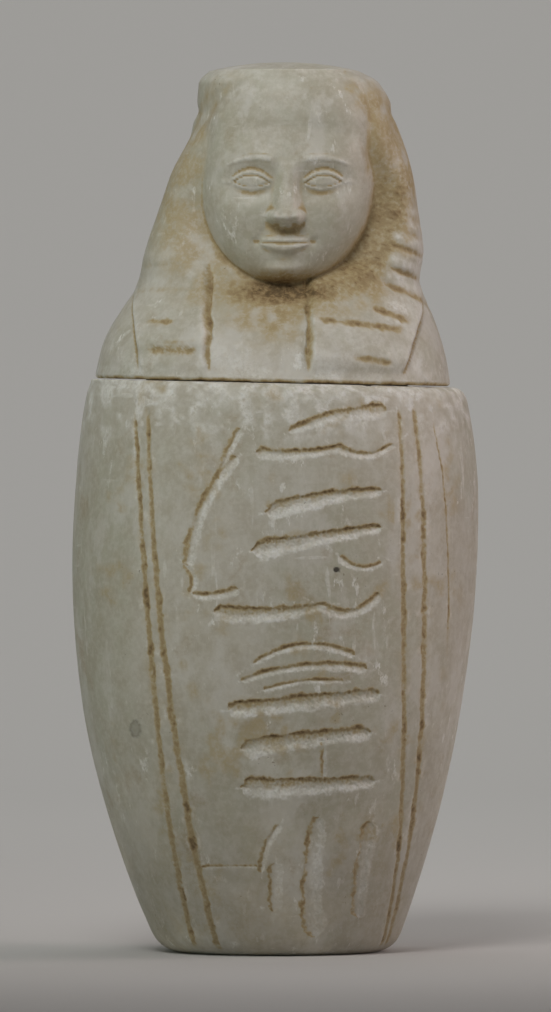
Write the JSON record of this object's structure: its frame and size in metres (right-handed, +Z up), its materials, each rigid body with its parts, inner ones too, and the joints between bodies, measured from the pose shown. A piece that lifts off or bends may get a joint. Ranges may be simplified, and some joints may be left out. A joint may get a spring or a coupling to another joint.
{
  "type": "canopic jar",
  "caption": "Human-headed calcite canopic jar: a hollow tapering jar with carved border lines and a lift-off lid carved as a head in a striped headcloth.",
  "frame": {"origin": "middle of the flat underside of the jar", "axes": "+Z up along the jar, -Y towards the side that the face looks to, +X to the viewer's right when facing it"},
  "size_m": [0.1373, 0.137, 0.3003],
  "materials": {
    "jar_calcite": "satin, hand-polished, with worn and stained carving",
    "lid_calcite": "satin, hand-polished, with brown dirt in the recesses"
  },
  "bodies": {
    "root": {"jar": "jar_calcite", "lid": "lid_calcite"}
  },
  "joints": []
}
